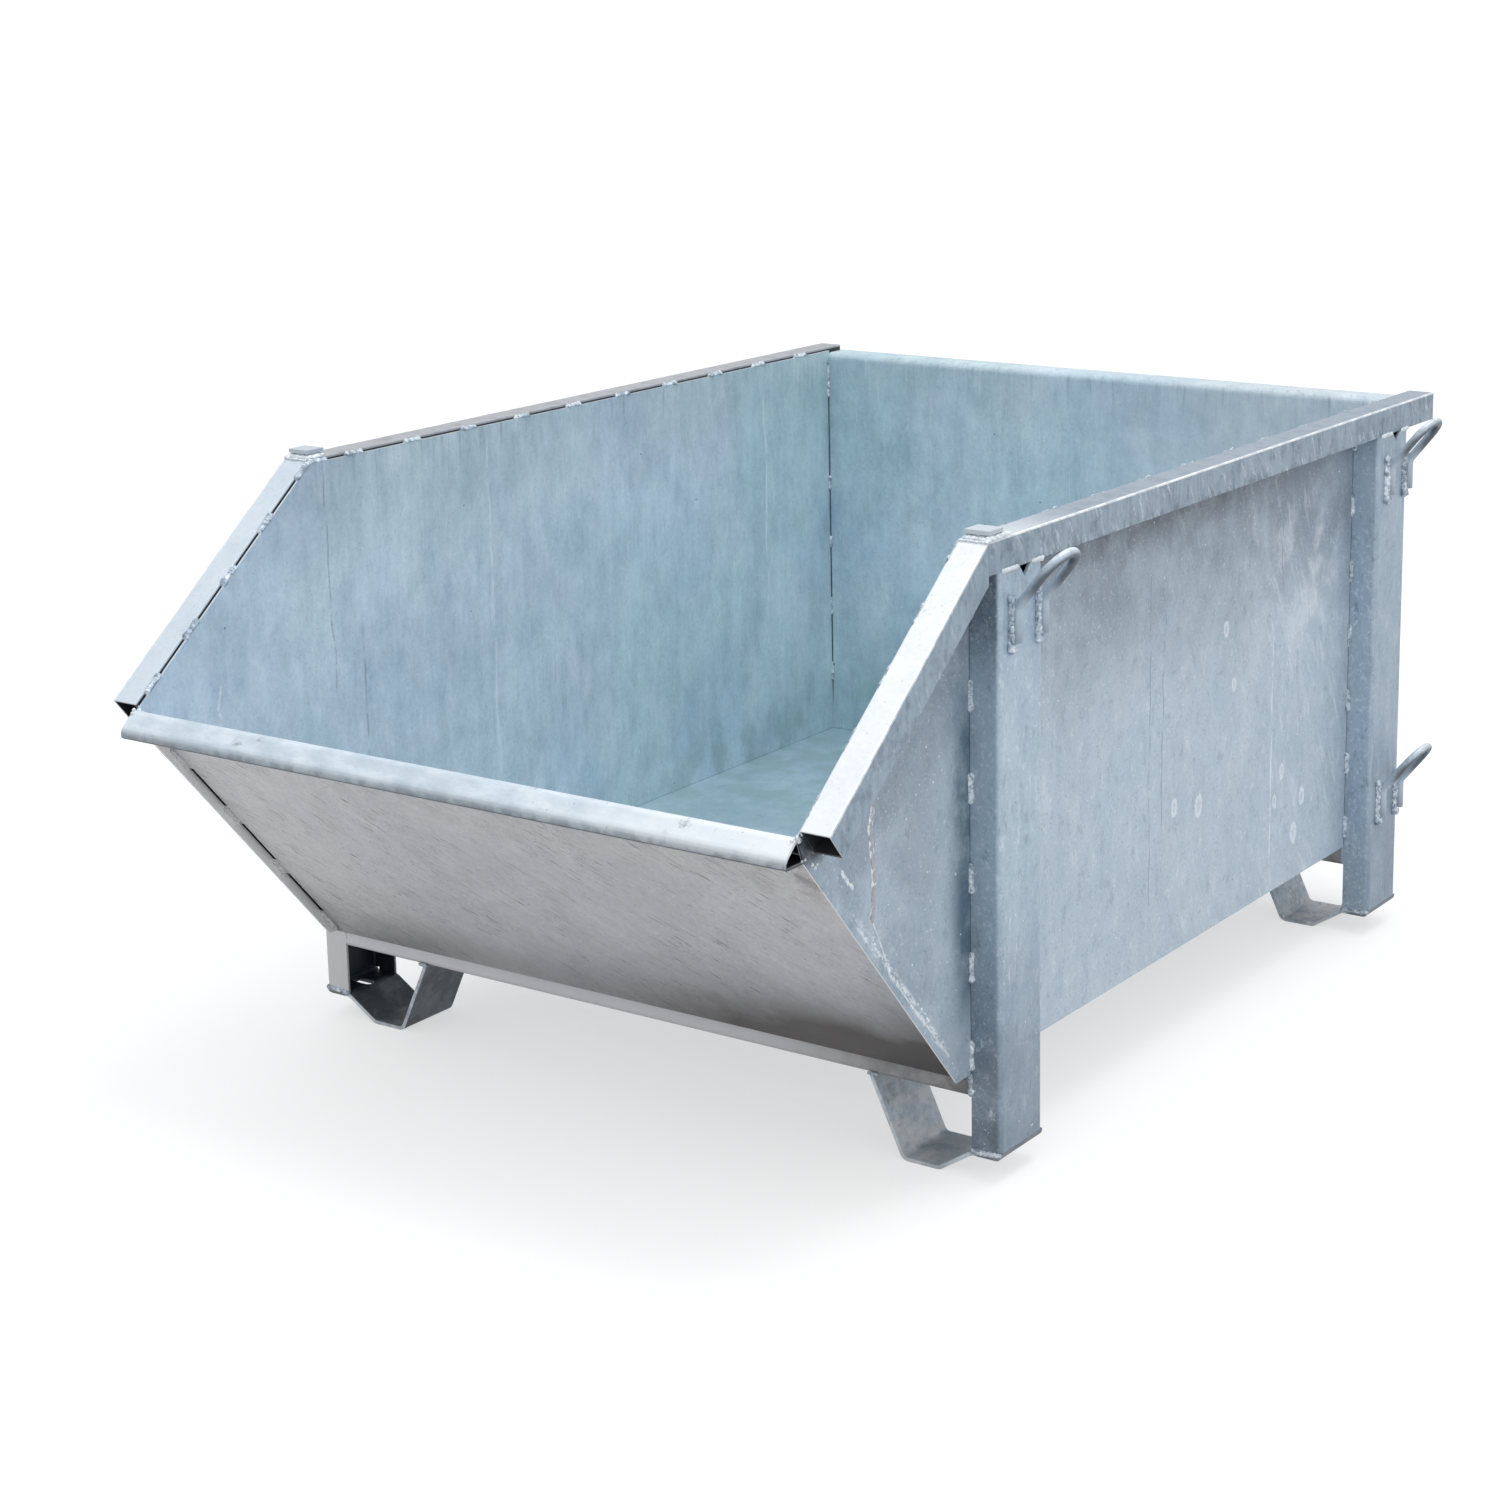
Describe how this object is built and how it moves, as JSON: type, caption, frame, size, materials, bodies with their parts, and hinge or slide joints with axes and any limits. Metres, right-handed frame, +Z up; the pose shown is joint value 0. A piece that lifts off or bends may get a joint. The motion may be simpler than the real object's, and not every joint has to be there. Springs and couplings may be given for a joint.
{
  "type": "waste container",
  "caption": "Open-front stackable waste container of galvanised sheet steel, with a sloped front and pouring lip, tube rims, folded corner posts on strap feet and welded crane eyes.",
  "frame": {"origin": "on the ground in the middle of the overall box, between the feet", "axes": "+X across to the right seen from the front, +Y from the lip at the front to the rear, +Z up"},
  "size_m": [1.2432, 1.628, 0.8115],
  "materials": {
    "inner_sheet": "hot-dip galvanised sheet, blue-grey with upright zinc runs, half matt",
    "front_sheet": "hot-dip galvanised sheet, warm grey with slanting dark speckle",
    "side_sheet": "hot-dip galvanised sheet, light grey with streaks, drips and zinc spots",
    "rim_tube": "bright fresh zinc on square tube, small dark specks",
    "frame_channel": "hot-dip galvanised folded channel, fine upright streaks",
    "foot_strap": "hot-dip galvanised bent flat bar, darker inside",
    "eye_bar": "galvanised round bar, smooth",
    "weld_bead": "weld beads under zinc, bright and rippled"
  },
  "bodies": {
    "root": {"floor_panel": "inner_sheet", "front_cross_beam": "frame_channel", "front_left_foot": "foot_strap", "front_left_lifting_eye": "eye_bar", "front_left_lifting_eye_front_weld": "weld_bead", "front_left_lifting_eye_rear_weld": "weld_bead", "front_left_post": "frame_channel", "front_left_post_front_weld": "weld_bead", "front_left_post_rear_weld": "weld_bead", "front_panel": "front_sheet", "front_right_foot": "foot_strap", "front_right_lifting_eye": "eye_bar", "front_right_lifting_eye_front_weld": "weld_bead", "front_right_lifting_eye_rear_weld": "weld_bead", "front_right_post": "frame_channel", "front_right_post_front_weld": "weld_bead", "front_right_post_rear_weld": "weld_bead", "left_front_panel_weld": "weld_bead", "left_front_rim": "rim_tube", "left_rear_wall_weld": "weld_bead", "left_rim_cap": "rim_tube", "left_rim_cap_weld": "weld_bead", "left_side_panel": "side_sheet", "left_top_rim": "rim_tube", "rear_cross_beam": "frame_channel", "rear_left_foot": "foot_strap", "rear_left_lifting_eye": "eye_bar", "rear_left_lifting_eye_front_weld": "weld_bead", "rear_left_lifting_eye_rear_weld": "weld_bead", "rear_left_post": "frame_channel", "rear_left_post_front_weld": "weld_bead", "rear_left_post_rear_weld": "weld_bead", "rear_left_tipping_eye": "eye_bar", "rear_left_tipping_eye_front_weld": "weld_bead", "rear_left_tipping_eye_rear_weld": "weld_bead", "rear_right_foot": "foot_strap", "rear_right_lifting_eye": "eye_bar", "rear_right_lifting_eye_front_weld": "weld_bead", "rear_right_lifting_eye_rear_weld": "weld_bead", "rear_right_post": "frame_channel", "rear_right_post_front_weld": "weld_bead", "rear_right_post_rear_weld": "weld_bead", "rear_right_tipping_eye": "eye_bar", "rear_right_tipping_eye_front_weld": "weld_bead", "rear_right_tipping_eye_rear_weld": "weld_bead", "rear_wall": "inner_sheet", "right_front_panel_weld": "weld_bead", "right_front_rim": "rim_tube", "right_rear_wall_weld": "weld_bead", "right_rim_cap": "rim_tube", "right_rim_cap_weld": "weld_bead", "right_side_panel": "side_sheet", "right_top_rim": "rim_tube"}
  },
  "joints": []
}
